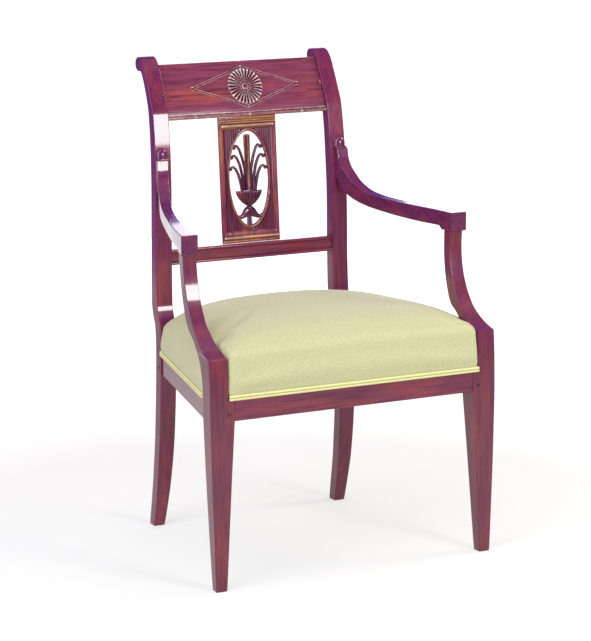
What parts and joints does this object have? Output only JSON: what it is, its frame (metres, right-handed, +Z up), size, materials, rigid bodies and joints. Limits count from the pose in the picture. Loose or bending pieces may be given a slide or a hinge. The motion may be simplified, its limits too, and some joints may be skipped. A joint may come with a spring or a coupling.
{
  "type": "open armchair",
  "caption": "Open armchair in mahogany with scrolled back posts, a pierced splat carved with an urn and plumes, flared arms on set-back supports and a seat stuffed over its rails.",
  "frame": {"origin": "on the floor, under the middle of the chair's bounding box", "axes": "+X to the viewer's right when the chair is seen from the front, +Y from the front feet to the back, +Z up"},
  "size_m": [0.572, 0.5095, 0.88],
  "materials": {
    "mahogany": "polished reddish mahogany with a purple cast",
    "carved_mahogany": "polished mahogany, lighter on the carving",
    "peg_wood": "dark end grain",
    "deal": "plain sawn softwood",
    "cover_cloth": "matt plain weave in yellow-green and cream",
    "piping_cloth": "yellow covered cord",
    "jute": "coarse plain jute",
    "horsehair": "curled dark hair",
    "iron": "dull iron with a slotted head"
  },
  "bodies": {
    "root": {"front_leg_right": "mahogany", "front_leg_left": "mahogany", "back_post_right": "mahogany", "back_post_left": "mahogany", "arm_right": "mahogany", "arm_left": "mahogany", "side_rail_right": "mahogany", "side_rail_left": "mahogany", "front_rail": "mahogany", "back_rail": "mahogany", "stay_rail": "mahogany", "crest_rail": "carved_mahogany", "splat": "carved_mahogany", "front_peg_right": "peg_wood", "front_peg_left": "peg_wood", "side_front_peg_right": "peg_wood", "side_front_peg_left": "peg_wood", "side_back_peg_right": "peg_wood", "side_back_peg_left": "peg_wood", "back_peg_right": "peg_wood", "back_peg_left": "peg_wood", "crest_peg_right": "peg_wood", "crest_peg_left": "peg_wood", "corner_block_front_right": "deal", "corner_block_front_left": "deal", "corner_block_back_right": "deal", "corner_block_back_left": "deal", "top_cover": "cover_cloth", "piping_front": "piping_cloth", "piping_back": "piping_cloth", "piping_right": "piping_cloth", "piping_left": "piping_cloth", "hessian": "jute", "webbing_long_1": "jute", "webbing_long_2": "jute", "webbing_long_3": "jute", "webbing_long_4": "jute", "webbing_cross_1": "jute", "webbing_cross_2": "jute", "webbing_cross_3": "jute", "stuffing": "horsehair", "arm_screw_right": "iron", "arm_screw_left": "iron"}
  },
  "joints": []
}
